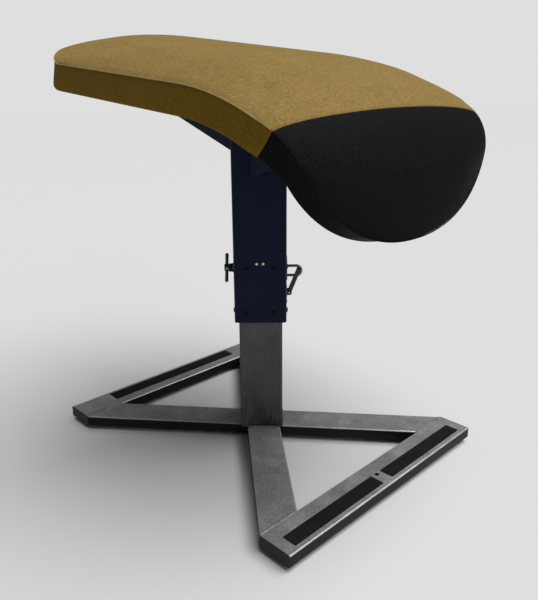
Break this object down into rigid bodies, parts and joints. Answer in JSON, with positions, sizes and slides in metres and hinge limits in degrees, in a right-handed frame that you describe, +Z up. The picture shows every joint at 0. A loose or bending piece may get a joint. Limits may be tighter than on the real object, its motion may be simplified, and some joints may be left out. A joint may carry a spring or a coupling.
{
  "type": "gymnastics vaulting table",
  "caption": "Height-adjustable vaulting table: crowned padded top with a curved front tongue on a telescopic square column and a bow-tie steel base.",
  "frame": {"origin": "on the floor, under the middle of the whole object; the telescopic column's axis is at X -0.018", "axes": "+X towards the run-up end, where the padded tongue curves down; +Z up along the column; the top is symmetric about the XZ plane"},
  "size_m": [1.2418, 0.966, 1.4499],
  "materials": {
    "clear_coated_steel": "ground steel under clear lacquer",
    "dark_steel": "satin",
    "cap_plastic": "matte",
    "glide_plastic": "natural polyamide",
    "foot_rubber": "matte",
    "grip_strip": "gritty anti-slip",
    "zinc_steel": "zinc plated",
    "black_bolt": "black oxide",
    "brass_screw": "turned",
    "navy_paint": "smooth powder coat",
    "bright_chrome": "polished",
    "latch_steel": "black zinc",
    "board_plywood": "edge-sealed plywood",
    "pad_foam": "closed-cell foam",
    "tan_vinyl": "suede-grain vinyl",
    "black_vinyl": "fine-grain vinyl"
  },
  "bodies": {
    "base": {"front_bar": "clear_coated_steel", "rear_bar": "clear_coated_steel", "diagonal_long": "clear_coated_steel", "diagonal_front_half": "clear_coated_steel", "diagonal_rear_half": "clear_coated_steel", "bar_end_caps": "cap_plastic", "base_feet": "foot_rubber", "foot_screws": "zinc_steel", "front_grip_strips": "grip_strip", "rear_grip_strip": "grip_strip", "inner_column": "clear_coated_steel", "column_weld": "clear_coated_steel", "column_floor_plate": "dark_steel", "upper_glide_pads": "glide_plastic", "strut_cylinder": "dark_steel"},
    "carriage": {"outer_column": "navy_paint", "lower_glide_pads": "glide_plastic", "glide_pad_bolts": "black_bolt", "pad_adjusting_screws": "brass_screw", "clamp_boss": "navy_paint", "strut_rod": "bright_chrome", "strut_top_block": "dark_steel", "latch_guide": "latch_steel", "latch_bracket": "latch_steel", "latch_pivot_pin": "zinc_steel", "latch_torsion_spring": "zinc_steel", "rear_arm_left_plate": "navy_paint", "rear_arm_right_plate": "navy_paint", "rear_arm_floor_plate": "navy_paint", "front_arm_left_plate": "navy_paint", "front_arm_right_plate": "navy_paint", "front_arm_floor_plate": "navy_paint", "deck_plate": "dark_steel", "deck_bolts": "zinc_steel", "deck_board": "board_plywood", "foam_pad": "pad_foam", "tan_cover": "tan_vinyl", "front_cover": "black_vinyl"},
    "clamp_pad": {"clamp_pressure_pad": "brass_screw"},
    "clamp_screw": {"clamp_spindle": "bright_chrome", "clamp_t_bar": "bright_chrome"},
    "latch_rod": {"latch_pull_rod": "bright_chrome"},
    "latch_lever": {"latch_lever": "latch_steel"}
  },
  "joints": [
    {"name": "height_slide", "type": "slide", "parent": "base", "child": "carriage", "axis": [0, 0, 1], "range_m": [-0.4, 0.05]},
    {"name": "clamp_feed", "type": "slide", "parent": "carriage", "child": "clamp_pad", "axis": [-0.7071, -0.7071, 0], "range_m": [0, 0.0031]},
    {"name": "clamp_turn", "type": "hinge", "parent": "clamp_pad", "child": "clamp_screw", "pos_m": [-0.10215, -0.08415, 0.658], "axis": [-0.7071, -0.7071, 0], "range_deg": [0, 540]},
    {"name": "latch_pull", "type": "slide", "parent": "carriage", "child": "latch_rod", "axis": [0.7071, 0.7071, 0], "range_m": [-0.01, 0.006]},
    {"name": "latch_lever_turn", "type": "hinge", "parent": "carriage", "child": "latch_lever", "pos_m": [0.05483, 0.07283, 0.566], "axis": [-0.7071, 0.7071, 0], "range_deg": [-7.3, 4.5]}
  ],
  "couplings": [
    {"joint": "clamp_feed", "follows": "clamp_turn", "m_per_rad": 0.00031831},
    {"joint": "latch_lever_turn", "follows": "latch_pull", "rad_per_m": 12.469}
  ]
}
